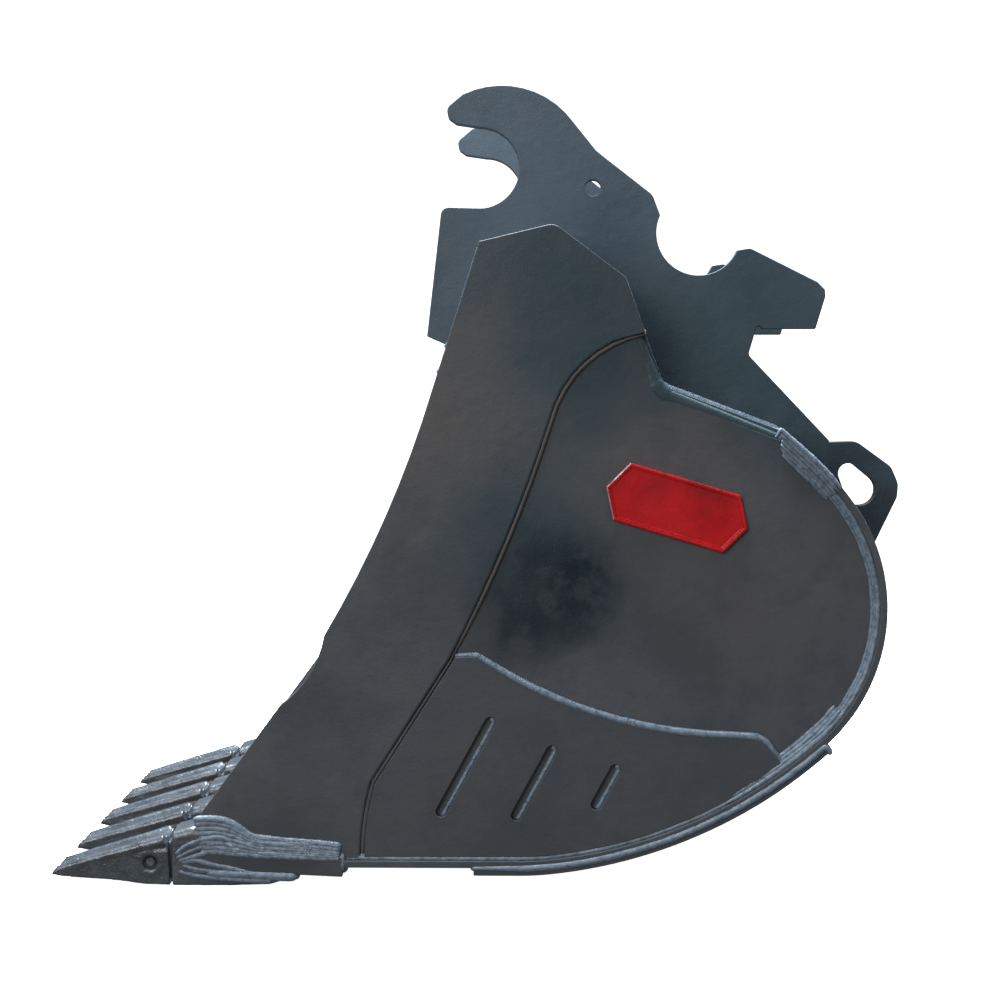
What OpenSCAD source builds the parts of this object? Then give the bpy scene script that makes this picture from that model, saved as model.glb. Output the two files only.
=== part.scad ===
// Excavator digging bucket with two hooked ears for a hook-and-wedge quick coupler.
// Origin: centre of the front hook, at mid-width.
// +X runs to the back of the bucket, +Z is up and the width lies along Y.

/* [Bucket body] */
// Overall width, over the ends of the lip and the wrapper
cut_w = 890; // [740:10:1200]
// Distance of each side plate's outer face in from the end of the wrapper
side_inset = 15; // [12:1:20]
// Thickness of the side plates
side_t = 15; // [10:1:20]
// Thickness of the edge plates and wear plates lapped on the sides
lap_t = 10; // [6:1:12]
// Thickness of the rolled wrapper
wrapper_t = 12; // [8:1:16]
// Thickness of the bent top plate
top_t = 16; // [10:1:20]
// Thickness of the four torsion box plates and of the diaphragms
box_t = 16; // [10:1:20]
// Thickness of the lip plate
lip_t = 34; // [26:1:42]
// Length of the level front stretch of the wrapper
flat_len = 300; // [240:10:360]
// Length of the gently curved heel
heel_len = 520; // [440:10:620]
// Length of the tightly curved back
back_len = 450; // [400:10:540]

/* [Wear strips] */
// Thickness of the heel wear strips
strip_t = 13; // [8:1:20]
// Width of one heel wear strip
strip_w = 110; // [60:5:130]

/* [Ears] */
// Distance between the middles of the two ear plates
ear_cc = 520; // [440:2:640]
// Thickness of one ear plate
ear_t = 30; // [20:1:40]
// Radius of the front hook
hook_r = 70; // [56:1:84]
// Radius of the rear saddle
saddle_r = 74; // [60:1:84]
// Radius of the round hole through both ears
cross_hole_r = 14; // [8:1:20]
// Thickness of the lifting eye
eye_t = 30; // [20:1:40]

/* [Teeth] */
// Width of an adapter
adapter_w = 90; // [80:1:110]
// Width of a tooth at its back
tooth_w = 86; // [76:1:104]
// Radius of a tooth pin
pin_r = 8; // [6:0.5:10]
// Radius of the recess round a pin's end
recess_r = 12.5; // [11:0.5:15]

/* [Hidden] */
$fn = 96;

// Colours
plate_grey = "#45494d";
ear_blue = "#465661";
wear_grey = "#393a3d";
cast_grey = "#6d7a86";
badge_red = "#be2126";
bare_steel = "#8d9296";

// Places across the width
wrapper_half = cut_w / 2;
side_out = wrapper_half - side_inset;
side_in = side_out - side_t;
corner_weld = 12;
top_half = side_out - corner_weld;
ear_out = (ear_cc + ear_t) / 2;
ear_in = ear_out - ear_t;
tooth_pitch = (cut_w - adapter_w) / 4;
strip_pitch = (cut_w - strip_w) / 4;

// ---- Outline helpers, all on [x, z] points ----

// Points from p to q along an arc that bows s to the left of the way; q itself is left out
function bow(p, q, s, n = 8) =
    let (d = q - p, l = norm(d), u = d / l, v = [-u[1], u[0]], r = (l * l / 4 + s * s) / (2 * s),
         c = (p + q) / 2 + v * (s - r), a0 = atan2(p[1] - c[1], p[0] - c[0]), half = asin(l / 2 / abs(r)),
         span = (s > 0 ? -2 : 2) * half)
    [for (i = [0 : n - 1]) c + abs(r) * [cos(a0 + span * i / n), sin(a0 + span * i / n)]];

// Corner b between a and c, rounded to radius r
function corner(a, b, c, r, n = 6) = r == 0 ? [b] :
    let (u = (a - b) / norm(a - b), v = (c - b) / norm(c - b), half = acos(u * v) / 2,
         m = (u + v) / norm(u + v), o = b + m * r / sin(half), t = r / tan(half),
         p = b + u * t, q = b + v * t, a0 = atan2(p[1] - o[1], p[0] - o[0]),
         a1 = atan2(q[1] - o[1], q[0] - o[0]), d = a1 - a0,
         span = d > 180 ? d - 360 : d < -180 ? d + 360 : d)
    [for (i = [0 : n]) o + r * [cos(a0 + span * i / n), sin(a0 + span * i / n)]];

// Closed outline from a list of [x, z, corner radius]
function rounded(pts) = let (k = len(pts)) [
    for (i = [0 : k - 1]) let (a = pts[(i + k - 1) % k], b = pts[i], c = pts[(i + 1) % k])
        for (p = corner([a[0], a[1]], [b[0], b[1]], [c[0], c[1]], b[2])) p
];

// Point at the end of one small step of a bend: l long, turning by a from heading h
function step_end(p, h, l, a) =
    p + l * (a == 0 ? 1 : sin(a / 2) / (a / 2 * PI / 180)) * [cos(h + a / 2), sin(h + a / 2)];

// Number of small steps that a bend is cut into
function steps(turn) = max(1, ceil(abs(turn) / 1.5));

// Path that starts at p with heading h and follows [length, turn] stretches
function rolled(p, h, stretches, i = 0) = i == len(stretches) ? [p] :
    let (l = stretches[i][0], a = stretches[i][1], n = steps(a))
    concat([for (k = [0 : n - 1]) p_along(p, h, l / n, a / n, k)],
           rolled(p_along(p, h, l / n, a / n, n), h + a, stretches, i + 1));

// Point k steps along a bend, each step l long and turning by a
function p_along(p, h, l, a, k) = k == 0 ? p :
    step_end(p_along(p, h, l, a, k - 1), h + a * (k - 1), l, a);

// An open path moved d to its left, with mitred corners
function beside(path, d) = let (k = len(path)) [
    for (i = [0 : k - 1]) let (
        u = path[min(i + 1, k - 1)] - path[min(i, k - 2)], v = path[max(i, 1)] - path[max(i - 1, 0)],
        a = [-u[1], u[0]] / norm(u), b = [-v[1], v[0]] / norm(v), m = (a + b) / norm(a + b))
        path[i] + m * d / (m * a)
];
function part_of(list, i, j) = [for (k = [i : j]) list[k]];
function backward(list) = [for (k = [len(list) - 1 : -1 : 0]) list[k]];

// A plate of thickness t on the left of path points i to j
module plate_2d(path, i, j, t) {
    polygon(concat(part_of(path, i, j), backward(part_of(beside(path, t), i, j))));
}

// An [x, z] outline made solid from y = from to y = to
module slab(from, to) {
    translate([0, to, 0]) rotate([90, 0, 0]) linear_extrude(to - from) children();
}

// Direction d turned by a
function turned(d, a) = [cos(a) * d[0] - sin(a) * d[1], sin(a) * d[0] + cos(a) * d[1]];

// A slot from a round end r_p about p to a round end r_q about q
module slot_2d(p, q, r_p, r_q) {
    d = (q - p) / norm(q - p);
    lean = acos((r_p - r_q) / norm(q - p));
    above = turned(d, lean);
    below = turned(d, -lean);
    translate(p) circle(r_p);
    translate(q) circle(r_q);
    polygon([p + above * r_p, q + above * r_q, q + below * r_q, p + below * r_p]);
}

// ---- Side profile of the body ----

// The wrapper's outer face, from its joint with the lip round to the top plate
wrap_start = [-228, -1199];
knee_turn = 6;
heel_turn = 36;
back_turn = 83;
wrap_out = rolled(wrap_start, 0, [
    [flat_len, 0], [50, knee_turn], [heel_len, heel_turn], [back_len, back_turn], [110, 13], [60, 0]
]);
wrap_n = len(wrap_out);
wrap_end = wrap_out[wrap_n - 1];
heel_end = 1 + steps(knee_turn) + steps(heel_turn);
back_end = heel_end + steps(back_turn);

// A wear strip starts on the level stretch and ends where the heel does
strip_path = concat([wrap_start + [flat_len * 0.74, 0]], part_of(wrap_out, 1, heel_end));

// Torsion box corners, and the bend of the top plate below it
box_low = [283, -290];
box_back = [250, -198];
box_crest = [130, -108];
box_nose = [4, -138];
top_bend = [316, -380];
top_out = concat([wrap_end], corner(wrap_end, top_bend, box_low, 30), [box_low]);
shell = concat(wrap_out, part_of(top_out, 1, len(top_out) - 1));
shell_n = len(shell);

// The mouth edge, from the nose of the box down to the front corner of the side plate
mouth_bend = [-75, -385];
scoop_top = [-259, -802];
scoop_low = [-335, -922];
side_toe = [-480, -1119];
mouth = concat([box_nose], bow(mouth_bend, scoop_top, 14), bow(scoop_top, scoop_low, 14),
               [scoop_low, side_toe]);

// The box plates follow this path; the front plate ends part of the way down the mouth
box_foot = box_nose + (mouth_bend - box_nose) * 0.86;
box_path = concat([box_low, box_back], corner(box_back, box_crest, box_nose, box_t + 10),
                  [box_nose, box_foot]);
box_n = len(box_path);
crest_i = box_n - 3;

// Top face of the box floor, run past both ends of the floor
floor_front = box_foot + [-20, 0];
floor_back = box_foot + [424, 6];

// Lip: its top face rises towards the teeth
lip_rise = 2.5;
lip_len = 270;
lip_back = [wrap_start[0], wrap_start[1] + wrapper_t + 6];
lip_dir = [-cos(lip_rise), sin(lip_rise)];
lip_down = [-sin(lip_rise), -cos(lip_rise)];
lip_front = lip_back + lip_dir * lip_len;
lip_bevel = 30;

module lip_2d() {
    polygon([
        lip_back, lip_front - lip_dir * lip_bevel, lip_front + lip_down * lip_t * 0.5,
        lip_front + lip_down * lip_t * 0.75, lip_front - lip_dir * lip_bevel * 0.5 + lip_down * lip_t,
        lip_back + lip_down * lip_t
    ]);
}

// Everything inside the body's outer face
module body_2d() {
    polygon(concat(shell, part_of(box_path, 1, crest_i), mouth, [lip_front + lip_down * lip_t, wrap_start]));
}

// Outline of a side plate: inside the wrapper and the top plate, flush with the box plates
module side_outline_2d() {
    polygon(concat(part_of(beside(shell, wrapper_t), 0, wrap_n - 1),
                   part_of(beside(shell, top_t), wrap_n - 1, shell_n - 1),
                   part_of(box_path, 0, crest_i), mouth,
                   [lip_front - lip_dir * (lip_bevel + 5), lip_back]));
}

module side_2d() {
    difference() {
        side_outline_2d();
        adapter_2d();
        lip_2d();
    }
}

// ---- Plates lapped on the side ----

// Inner edge of the edge plate, from the box down to the lip
edge_knee = [123, -437];
edge_waist = [-46, -841];
edge_heel = [-180, -1052];
edge_toe = [-199, -1190];
edge_inner = concat(bow(box_low, edge_knee, -32), bow(edge_knee, edge_waist, 10), [edge_waist],
                    bow(edge_heel, edge_toe, -5), [edge_toe]);
// Weld groove between the edge plate and the wear plate
groove = 7;
wear_gap = 6;
wear_top = [0, -838];
wear_top_end = [430, -973];
wear_back = [482, -976];

// The mouth's side of the edge plate's inner edge, grown by g
module edge_region_2d(g) {
    polygon(concat(beside(edge_inner, g), [[-700, -1190], [-700, 100], [400, 100]]));
}

module side_edge_2d() {
    intersection() {
        side_2d();
        edge_region_2d(0);
    }
}

slot_tops = [[22, -950], [127, -998], [235, -1030]];
slot_lens = [174, 126, 68];
slot_lean = 61.5;
slot_dir = [cos(slot_lean), sin(slot_lean)];
slot_r = 9;

module side_wear_2d() {
    difference() {
        intersection() {
            polygon(concat([wear_top - [60, 0]], bow(wear_top, wear_top_end, -33, 12), [wear_top_end],
                           corner(wear_top_end, wear_back, wear_back + [120, -145], 40),
                           [[700, -1250], [-300, -1250]]));
            polygon(concat(beside(shell, wrapper_t + wear_gap), [[-500, -600], [-500, -1190]]));
            side_2d();
        }
        edge_region_2d(groove);
        for (i = [0 : 2])
            slot_2d(slot_tops[i], slot_tops[i] - slot_lens[i] * slot_dir, slot_r, slot_r);
    }
}

badge_at = [337, -585];
badge_tilt = -16.5;
badge_half_l = 125;
badge_half_h = 51;
badge_point = 28;
badge_t = 8;
badge_rim = 7;
badge_sink = 3;

module badge_2d(inset) {
    l = badge_half_l - inset * 1.15;
    h = badge_half_h - inset;
    f = badge_half_l - badge_point - inset * 0.6;
    translate(badge_at) rotate(badge_tilt)
        polygon([[-l, 0], [-f, -h], [f, -h], [l, 0], [f, h], [-f, h]]);
}

// ---- Ears ----

saddle_at = [384, -113];
cross_hole_at = [199, -35];
ledge_z = -281;
// The hook's crown is one arc about a point ahead of and below the hook's centre
crown_at = [39, -12];
crown_r = hook_r + 85;
crown = [for (a = [36 : 8 : 116]) concat(crown_at + crown_r * [cos(a), sin(a)], 0)];
relief_r = 6;

module ear_outline_2d() {
    polygon(rounded([
        [-66, 2 - hook_r, 14], [-92, -294, 3], [-60, -308, 0], [-20, -330, 0], [100, -400, 0],
        concat(wrap_end + [-18, -103], 0), concat(wrap_end + [94, -103], 0),
        concat(wrap_end + [96, -19], 4), [472, -326, 8], [481, ledge_z - 14, 2],
        [484, ledge_z, 0], [589, ledge_z, 2], [606, -224, 6], [605, -212, 4], [592, -199, 3],
        [474, -140, 12], [440, -145, 0], [saddle_at[0] + saddle_r - 8, saddle_at[1], 0],
        [saddle_at[0] - saddle_r + 2, saddle_at[1], 0], [317, -84, 6], [303, -47, 24], [205, 29, 60],
        each crown, [-57, hook_r + 34, 14], [-54, hook_r + 16, 10], [-40, hook_r + 6, 8],
        [0, hook_r, 0], [0, -hook_r, 0]
    ]));
}

module ear_2d() {
    difference() {
        ear_outline_2d();
        circle(hook_r);
        translate(saddle_at) circle(saddle_r);
        translate(cross_hole_at) circle(cross_hole_r);
        translate([490, ledge_z - 1]) circle(relief_r);
        body_2d();
    }
}

module between_ears() {
    slab(-ear_in, ear_in) children();
}

// ---- Lifting eye ----

eye_foot = wrap_out[back_end];
eye_hole = eye_foot + [74, 2];
eye_hole_r = 29;
eye_notch = eye_hole + [-22, 31];
eye_notch_r = 19;

module eye_2d() {
    difference() {
        polygon(rounded([
            concat(eye_hole + [-104, 20], 0), concat(eye_hole + [-68, 90], 8),
            concat(eye_hole + [-8, 92], 30), concat(eye_hole + [58, 44], 25),
            concat(eye_hole + [72, 12], 30), concat(eye_hole + [70, -14], 20),
            concat(eye_hole + [-14, -190], 0), concat(eye_hole + [-104, -190], 0)
        ]));
        slot_2d(eye_hole, eye_notch, eye_hole_r, eye_notch_r);
        body_2d();
    }
}

// ---- Adapters, teeth and pins ----

// Face of the adapter's shoulder, which a tooth's back nearly touches
shoulder_x = -520;
pin_at = [-558, -1192];
joint_gap = 4;
nose_gap = 0.5;
pin_gap = 0.05;
pin_half = tooth_w / 2 - 4;
nose_len = 128;
nose_half_w = tooth_w / 2 - 11;
nose_tip_half_w = nose_half_w - 8;
retainer_out = 14;
retainer_seat = nose_half_w - 12;
retainer_t = 8;
retainer_gap = 0.3;

module adapter_body_2d() {
    polygon(rounded([
        [shoulder_x, -1139, 3], [-489, -1130, 20], [-425, -1131, 30], [-385, -1144, 20],
        [-330, -1166, 4], [-326, -1186, 0], [-300, -1200, 0], [-306, -1213, 0], [-352, -1228, 20],
        [-420, -1230, 0], [shoulder_x, -1230, 3]
    ]));
}

module adapter_2d() {
    difference() {
        adapter_body_2d();
        lip_2d();
    }
}

// The nose grown by g on every side: side view and plan
module nose(g) {
    intersection() {
        slab(-tooth_w, tooth_w) polygon([
            [shoulder_x + 1, -1155 + g], [shoulder_x - nose_len + 10, -1192 + g],
            [shoulder_x - nose_len - g, -1198 + g], [shoulder_x - nose_len - g, -1206 - g],
            [shoulder_x - nose_len + 10, -1210 - g], [shoulder_x + 1, -1221 - g]
        ]);
        translate([0, 0, -1300]) linear_extrude(300) polygon([
            [shoulder_x + 1, nose_half_w + g], [shoulder_x - nose_len - g, nose_tip_half_w + g],
            [shoulder_x - nose_len - g, -nose_tip_half_w - g], [shoulder_x + 1, -nose_half_w - g]
        ]);
    }
}

// A cylinder about the pin's line, from y = from to y = to
module on_pin(r, from, to) {
    slab(from, to) translate(pin_at) circle(r);
}

module adapter() {
    difference() {
        union() {
            slab(-adapter_w / 2, adapter_w / 2) adapter_2d();
            nose(0);
        }
        on_pin(pin_r + pin_gap, -adapter_w, adapter_w);
        on_pin(retainer_out + retainer_gap, -adapter_w, -retainer_seat);
    }
}

module tooth() {
    difference() {
        intersection() {
            slab(-tooth_w / 2, tooth_w / 2) polygon([
                [shoulder_x - joint_gap - 5, -1147], [shoulder_x - 100, -1174], [shoulder_x - 204, -1206],
                [shoulder_x - 209, -1214], [shoulder_x - 192, -1217], [shoulder_x - 103, -1222],
                [shoulder_x - 45, -1229], [shoulder_x - joint_gap, -1230]
            ]);
            translate([0, 0, -1300]) linear_extrude(300) polygon([
                [shoulder_x, tooth_w / 2], [shoulder_x - 70, tooth_w / 2],
                [shoulder_x - 209, tooth_w / 2 - 4], [shoulder_x - 209, 4 - tooth_w / 2],
                [shoulder_x - 70, -tooth_w / 2], [shoulder_x, -tooth_w / 2]
            ]);
            translate([shoulder_x - 250, 0, 0]) rotate([90, 0, 90]) linear_extrude(260) polygon([
                [-tooth_w / 2, -1300], [tooth_w / 2, -1300], [tooth_w / 2, -1172], [tooth_w / 2 - 13, -1140],
                [13 - tooth_w / 2, -1140], [-tooth_w / 2, -1172]
            ]);
        }
        nose(nose_gap);
        on_pin(pin_r + pin_gap, -tooth_w, tooth_w);
        on_pin(recess_r, -tooth_w, -tooth_w / 2 + 6);
        on_pin(recess_r, tooth_w / 2 - 6, tooth_w);
    }
}

module pin_retainer() {
    difference() {
        on_pin(retainer_out, -retainer_seat - retainer_t, -retainer_seat);
        on_pin(pin_r + pin_gap, -tooth_w, tooth_w);
    }
}

module tooth_pin() {
    on_pin(pin_r, -pin_half, pin_half);
}

// Station i of five across the width, 1 at the left
function station(i, pitch) = (i - 3) * pitch;
module at_tooth(i) {
    translate([0, station(i, tooth_pitch), 0]) children();
}

// ---- Nodes ----

module side_plate() { color(plate_grey) slab(-side_out, -side_in) side_2d(); }
module side_edge_plate() { color(plate_grey) slab(-side_out - lap_t, -side_out) side_edge_2d(); }
module side_wear_plate() { color(wear_grey) slab(-side_out - lap_t, -side_out) side_wear_2d(); }
module badge() {
    color(badge_red) difference() {
        slab(-side_out - badge_t, -side_out) badge_2d(0);
        slab(-side_out - badge_t - 1, -side_out - badge_t + badge_sink) badge_2d(badge_rim);
    }
}
module wrapper_shell() {
    color(plate_grey) slab(-wrapper_half, wrapper_half) plate_2d(shell, 0, wrap_n - 1, wrapper_t);
}
module top_plate() {
    color(plate_grey) slab(-top_half, top_half) plate_2d(shell, wrap_n - 1, shell_n - 1, top_t);
}
module lip_plate() { color(plate_grey) slab(-wrapper_half, wrapper_half) lip_2d(); }
module box_plate(i, j) { color(plate_grey) slab(-side_in, side_in) plate_2d(box_path, i, j, box_t); }
module in_box() {
    difference() {
        intersection() {
            children();
            side_outline_2d();
        }
        plate_2d(box_path, 0, box_n - 1, box_t);
    }
}
module box_floor_plate() {
    color(plate_grey) slab(-side_in, side_in) in_box()
        polygon([floor_front, floor_back, floor_back - [0, box_t], floor_front - [0, box_t]]);
}
module box_diaphragm() {
    color(plate_grey) slab(-(ear_cc + box_t) / 2, -(ear_cc - box_t) / 2) in_box()
        polygon(concat(part_of(beside(box_path, box_t), 0, box_n - 2), [floor_front, floor_back]));
}
module wear_strip(i) {
    color(wear_grey) slab(station(i, strip_pitch) - strip_w / 2, station(i, strip_pitch) + strip_w / 2)
        polygon(concat(strip_path, backward(beside(strip_path, -strip_t))));
}
module ear_plate() { color(ear_blue) slab(-ear_out, -ear_in) ear_2d(); }
module front_tie_plate() {
    color(ear_blue) between_ears() polygon([[-64, -100], [-76, -200], [-60, -202], [-48, -102]]);
}
module rear_tie_plate() {
    color(ear_blue) between_ears() difference() {
        polygon([[462, -345], [446, -345], [470, -480], [486, -480]]);
        body_2d();
    }
}
module lifting_eye() { color(ear_blue) slab(-eye_t / 2, eye_t / 2) eye_2d(); }

module both(side) {
    if (side == "left") children();
    else mirror([0, 1, 0]) children();
}

both("left") side_plate();  // side_plate_left
both("right") side_plate();  // side_plate_right
both("left") side_edge_plate();  // side_edge_plate_left
both("right") side_edge_plate();  // side_edge_plate_right
both("left") side_wear_plate();  // side_wear_plate_left
both("right") side_wear_plate();  // side_wear_plate_right
both("left") badge();  // badge_left
both("right") badge();  // badge_right
wrapper_shell();
top_plate();
lip_plate();
box_plate(0, crest_i - 6);  // box_rear_plate
box_plate(crest_i - 6, box_n - 2);  // box_top_plate
box_plate(box_n - 2, box_n - 1);  // box_front_plate
box_floor_plate();
both("left") box_diaphragm();  // box_diaphragm_left
both("right") box_diaphragm();  // box_diaphragm_right
both("left") ear_plate();  // ear_plate_left
both("right") ear_plate();  // ear_plate_right
front_tie_plate();
rear_tie_plate();
lifting_eye();
for (i = [1 : 5]) {
    wear_strip(i);
    color(cast_grey) at_tooth(i) adapter();
    color(cast_grey) at_tooth(i) tooth();
    color(bare_steel) at_tooth(i) pin_retainer();
    color(bare_steel) at_tooth(i) tooth_pin();
}
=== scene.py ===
"""Looks of an excavator digging bucket: painted plates, weld beads, cast teeth and studio."""

from __future__ import annotations

import logging
import math
from collections.abc import Callable
from dataclasses import dataclass, field
from enum import Enum

import bmesh
import bpy
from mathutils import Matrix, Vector, noise


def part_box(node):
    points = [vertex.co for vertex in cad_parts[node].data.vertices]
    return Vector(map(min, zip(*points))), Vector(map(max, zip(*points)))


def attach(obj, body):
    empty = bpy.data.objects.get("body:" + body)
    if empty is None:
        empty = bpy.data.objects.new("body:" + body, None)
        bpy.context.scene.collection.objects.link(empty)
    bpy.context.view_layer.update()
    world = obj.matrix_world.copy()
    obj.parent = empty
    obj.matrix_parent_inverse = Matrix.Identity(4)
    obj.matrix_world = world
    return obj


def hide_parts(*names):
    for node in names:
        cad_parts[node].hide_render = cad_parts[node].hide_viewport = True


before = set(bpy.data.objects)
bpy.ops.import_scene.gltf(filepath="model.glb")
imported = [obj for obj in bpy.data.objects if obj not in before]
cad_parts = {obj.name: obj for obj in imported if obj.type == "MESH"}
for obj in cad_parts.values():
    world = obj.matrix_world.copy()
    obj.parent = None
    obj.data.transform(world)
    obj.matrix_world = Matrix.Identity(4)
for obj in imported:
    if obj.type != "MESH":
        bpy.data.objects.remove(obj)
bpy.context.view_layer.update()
LOG = logging.getLogger("bucket")

Point = tuple[float, float]
Colour = tuple[float, float, float]


class Side(Enum):
    """The two sides of the bucket, by the sign of Y."""

    LEFT = -1
    RIGHT = 1

    @property
    def word(self) -> str:
        """Ending of the node names on this side."""
        return self.name.lower()


# ---------------------------------------------------------------- node trees


class Tree:
    """A node tree under construction, with short calls to add and join nodes."""

    def __init__(self, tree: bpy.types.NodeTree) -> None:
        """Keeps the tree that is being built."""
        self.tree = tree

    def add(self, kind: str, inputs: dict[str | int, object] | None = None, **settings: object) -> bpy.types.Node:
        """Adds a node.

        Args:
            kind: the node's type name.
            inputs: values, or sockets to join, for its inputs by name or number.
            settings: properties of the node itself.

        Returns:
            The new node.
        """
        made = self.tree.nodes.new(kind)
        for name, value in settings.items():
            setattr(made, name, value)
        for name, value in (inputs or {}).items():
            socket = made.inputs[name]
            if isinstance(value, bpy.types.NodeSocket):
                self.tree.links.new(value, socket)
            else:
                socket.default_value = value
        return made

    def math(self, operation: str, *values: object) -> bpy.types.NodeSocket:
        """Adds a Math node on the given values or sockets and returns its result."""
        return self.add("ShaderNodeMath", dict(enumerate(values)), operation=operation).outputs[0]

    def vector(self, operation: str, first: object, second: object) -> bpy.types.NodeSocket:
        """Adds a Vector Math node.

        Args:
            operation: the node's operation.
            first: the first value or socket.
            second: the second one, or the factor when scaling.

        Returns:
            The resulting vector, or the distance.
        """
        key = "Scale" if operation == "SCALE" else 1
        made = self.add("ShaderNodeVectorMath", {0: first, key: second}, operation=operation)
        return made.outputs["Value" if operation == "DISTANCE" else "Vector"]

    def noise(self, where: object, scale: float, detail: float = 2.0, **inputs: float) -> bpy.types.NodeSocket:
        """Adds a noise texture read at a place, at a scale in waves a metre, and returns its value."""
        made = self.add("ShaderNodeTexNoise", {"Vector": where, "Scale": scale, "Detail": detail, **inputs})
        return made.outputs["Fac"]

    def ramp(self, value: object, low: float, high: float, to_low: float, to_high: float) -> bpy.types.NodeSocket:
        """Adds a smooth Map Range from low..high to to_low..to_high.

        Args:
            value: the number to map.
            low: where the rise begins.
            high: where it ends.
            to_low: the result at low.
            to_high: the result at high.

        Returns:
            The mapped number.
        """
        made = self.add(
            "ShaderNodeMapRange",
            {"Value": value, "From Min": low, "From Max": high, "To Min": to_low, "To Max": to_high},
            interpolation_type="SMOOTHSTEP",
        )
        return made.outputs["Result"]

    def blend(self, factor: object, first: object, second: object) -> bpy.types.NodeSocket:
        """Adds a colour Mix node.

        Args:
            factor: 0 for the first colour, 1 for the second.
            first: a colour or socket.
            second: a colour or socket.

        Returns:
            The mixed colour.
        """
        made = self.add("ShaderNodeMix", data_type="RGBA")
        for index, value in ((0, factor), (6, first), (7, second)):
            if isinstance(value, bpy.types.NodeSocket):
                self.tree.links.new(value, made.inputs[index])
            else:
                made.inputs[index].default_value = value
        return made.outputs[2]

    def attribute(self, name: str, kind: str = "FLOAT") -> bpy.types.NodeSocket:
        """Adds a reader of a named attribute and returns its value."""
        return self.add("GeometryNodeInputNamedAttribute", {"Name": name}, data_type=kind).outputs["Attribute"]

    def store(self, shape: object, name: str, value: object) -> bpy.types.NodeSocket:
        """Keeps a number on each point of a shape under a name, and returns the shape."""
        inputs = {"Geometry": shape, "Name": name, "Value": value}
        return self.add("GeometryNodeStoreNamedAttribute", inputs, data_type="FLOAT", domain="POINT").outputs[0]

    def grain(self, seed: object, scale: object, depth: object, detail: float) -> bpy.types.NodeSocket:
        """Adds a seeded noise that is even about zero.

        Args:
            seed: picks the pattern.
            scale: waves a metre.
            depth: distance between the lowest and the highest place.
            detail: how many finer layers the noise has.

        Returns:
            The height at each place.
        """
        inputs = {"Vector": self.add("GeometryNodeInputPosition").outputs[0], "W": seed, "Scale": scale,
                  "Detail": detail}
        cloud = self.add("ShaderNodeTexNoise", inputs, noise_dimensions="4D").outputs["Fac"]
        return self.math("MULTIPLY", self.math("SUBTRACT", cloud, 0.5), depth)

    def end_with(self, shape: object, lift: object, material: object) -> None:
        """Ends a tree: the shape is lifted along its normals, realised, painted and sent out.

        Args:
            shape: the mesh.
            lift: how far out each point moves.
            material: the mesh's material.
        """
        push = self.vector("SCALE", self.add("GeometryNodeInputNormal").outputs[0], lift)
        shape = self.add("GeometryNodeSetPosition", {"Geometry": shape, "Offset": push}).outputs[0]
        shape = self.add("GeometryNodeRealizeInstances", {"Geometry": shape}).outputs[0]
        shape = self.add("GeometryNodeSetMaterial", {"Geometry": shape, "Material": material}).outputs[0]
        self.add("NodeGroupOutput", {"Geometry": shape})


def rgba(colour: Colour) -> tuple[float, float, float, float]:
    """A colour with full opacity."""
    return (*colour, 1.0)


# ---------------------------------------------------------------- finishes


# The zones are soft clouds of painted reflection and shade on the plates and ears.
REFLECTION_SHADE_STIR = 0.22  # how far, in metres, noise may carry the edge of a zone


@dataclass(frozen=True)
class Zone:
    """A soft cloud of another tint on the plates, about a point of the side view: painted reflection and shade."""

    x: float
    z: float
    radius: float
    tint: Colour
    strength: float = 0.8


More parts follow.
